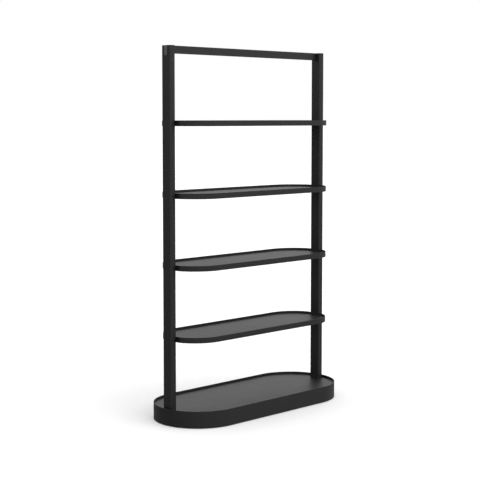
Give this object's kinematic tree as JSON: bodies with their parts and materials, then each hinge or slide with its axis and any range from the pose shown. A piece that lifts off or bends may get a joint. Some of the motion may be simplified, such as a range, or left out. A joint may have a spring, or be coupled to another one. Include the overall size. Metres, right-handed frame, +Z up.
{
  "type": "free-standing shelf unit",
  "caption": "Free-standing steel shelf unit: racetrack-shaped tray shelves between two oval-cornered posts on a deep racetrack base, with a crossbar joining the post tops.",
  "frame": {"origin": "on the floor under the middle of the unit", "axes": "+Z up, X along the shelves, -Y to the front"},
  "size_m": [1.128, 0.452, 1.829],
  "materials": {
    "black_powder_coat": "satin, fine orange-peel powder coat",
    "black_powder_coat_hidden": "satin powder coat on the hidden members",
    "black_plastic": "moulded, fine grain",
    "grey_plastic": "moulded, fine grain",
    "foot_plastic": "moulded nylon",
    "zinc_steel": "bright zinc plate"
  },
  "bodies": {
    "frame": {"base_cross_channels": "black_powder_coat_hidden", "base_deck": "black_powder_coat", "base_rails": "black_powder_coat_hidden", "base_ribs": "black_powder_coat_hidden", "base_skirt": "black_powder_coat", "crossbar": "black_powder_coat", "crossbar_end_plugs": "black_powder_coat_hidden", "crossbar_screws": "zinc_steel", "left_post": "black_powder_coat", "left_post_cap": "black_plastic", "left_post_foot_plate": "black_powder_coat_hidden", "left_slot_plug": "grey_plastic", "leveller_nuts": "zinc_steel", "post_bolts": "zinc_steel", "post_seats": "black_powder_coat_hidden", "post_washers": "zinc_steel", "right_post": "black_powder_coat", "right_post_cap": "black_plastic", "right_post_foot_plate": "black_powder_coat_hidden", "right_slot_plug": "grey_plastic", "shelf_1_brackets": "black_powder_coat_hidden", "shelf_1_deck": "black_powder_coat", "shelf_1_rim": "black_powder_coat", "shelf_1_screws": "zinc_steel", "shelf_1_stiffeners": "black_powder_coat_hidden", "shelf_2_brackets": "black_powder_coat_hidden", "shelf_2_deck": "black_powder_coat", "shelf_2_rim": "black_powder_coat", "shelf_2_screws": "zinc_steel", "shelf_2_stiffeners": "black_powder_coat_hidden", "shelf_3_brackets": "black_powder_coat_hidden", "shelf_3_deck": "black_powder_coat", "shelf_3_rim": "black_powder_coat", "shelf_3_screws": "zinc_steel", "shelf_3_stiffeners": "black_powder_coat_hidden", "shelf_4_brackets": "black_powder_coat_hidden", "shelf_4_deck": "black_powder_coat", "shelf_4_rim": "black_powder_coat", "shelf_4_screws": "zinc_steel", "shelf_4_stiffeners": "black_powder_coat_hidden", "shelf_rivet_nuts": "zinc_steel"},
    "front_left_foot_pad": {"foot_pad_front_left": "foot_plastic"},
    "front_left_foot_stem": {"foot_stem_front_left": "zinc_steel"},
    "front_right_foot_pad": {"foot_pad_front_right": "foot_plastic"},
    "front_right_foot_stem": {"foot_stem_front_right": "zinc_steel"},
    "rear_left_foot_pad": {"foot_pad_rear_left": "foot_plastic"},
    "rear_left_foot_stem": {"foot_stem_rear_left": "zinc_steel"},
    "rear_right_foot_pad": {"foot_pad_rear_right": "foot_plastic"},
    "rear_right_foot_stem": {"foot_stem_rear_right": "zinc_steel"}
  },
  "joints": [
    {"name": "front_left_foot_travel", "type": "slide", "parent": "frame", "child": "front_left_foot_pad", "axis": [0, 0, -1], "range_m": [0, 0.012]},
    {"name": "front_left_stem_turn", "type": "hinge", "parent": "front_left_foot_pad", "child": "front_left_foot_stem", "pos_m": [-0.43, -0.16, 0.02], "axis": [0, 0, -1], "range_deg": [0, 3450]},
    {"name": "front_right_foot_travel", "type": "slide", "parent": "frame", "child": "front_right_foot_pad", "axis": [0, 0, -1], "range_m": [0, 0.012]},
    {"name": "front_right_stem_turn", "type": "hinge", "parent": "front_right_foot_pad", "child": "front_right_foot_stem", "pos_m": [0.43, -0.16, 0.02], "axis": [0, 0, -1], "range_deg": [0, 3450]},
    {"name": "rear_left_foot_travel", "type": "slide", "parent": "frame", "child": "rear_left_foot_pad", "axis": [0, 0, -1], "range_m": [0, 0.012]},
    {"name": "rear_left_stem_turn", "type": "hinge", "parent": "rear_left_foot_pad", "child": "rear_left_foot_stem", "pos_m": [-0.43, 0.16, 0.02], "axis": [0, 0, -1], "range_deg": [0, 3450]},
    {"name": "rear_right_foot_travel", "type": "slide", "parent": "frame", "child": "rear_right_foot_pad", "axis": [0, 0, -1], "range_m": [0, 0.012]},
    {"name": "rear_right_stem_turn", "type": "hinge", "parent": "rear_right_foot_pad", "child": "rear_right_foot_stem", "pos_m": [0.43, 0.16, 0.02], "axis": [0, 0, -1], "range_deg": [0, 3450]}
  ],
  "couplings": [
    {"joint": "front_left_foot_travel", "follows": "front_left_stem_turn", "m_per_rad": 0.00019894},
    {"joint": "front_right_foot_travel", "follows": "front_right_stem_turn", "m_per_rad": 0.00019894},
    {"joint": "rear_left_foot_travel", "follows": "rear_left_stem_turn", "m_per_rad": 0.00019894},
    {"joint": "rear_right_foot_travel", "follows": "rear_right_stem_turn", "m_per_rad": 0.00019894}
  ]
}
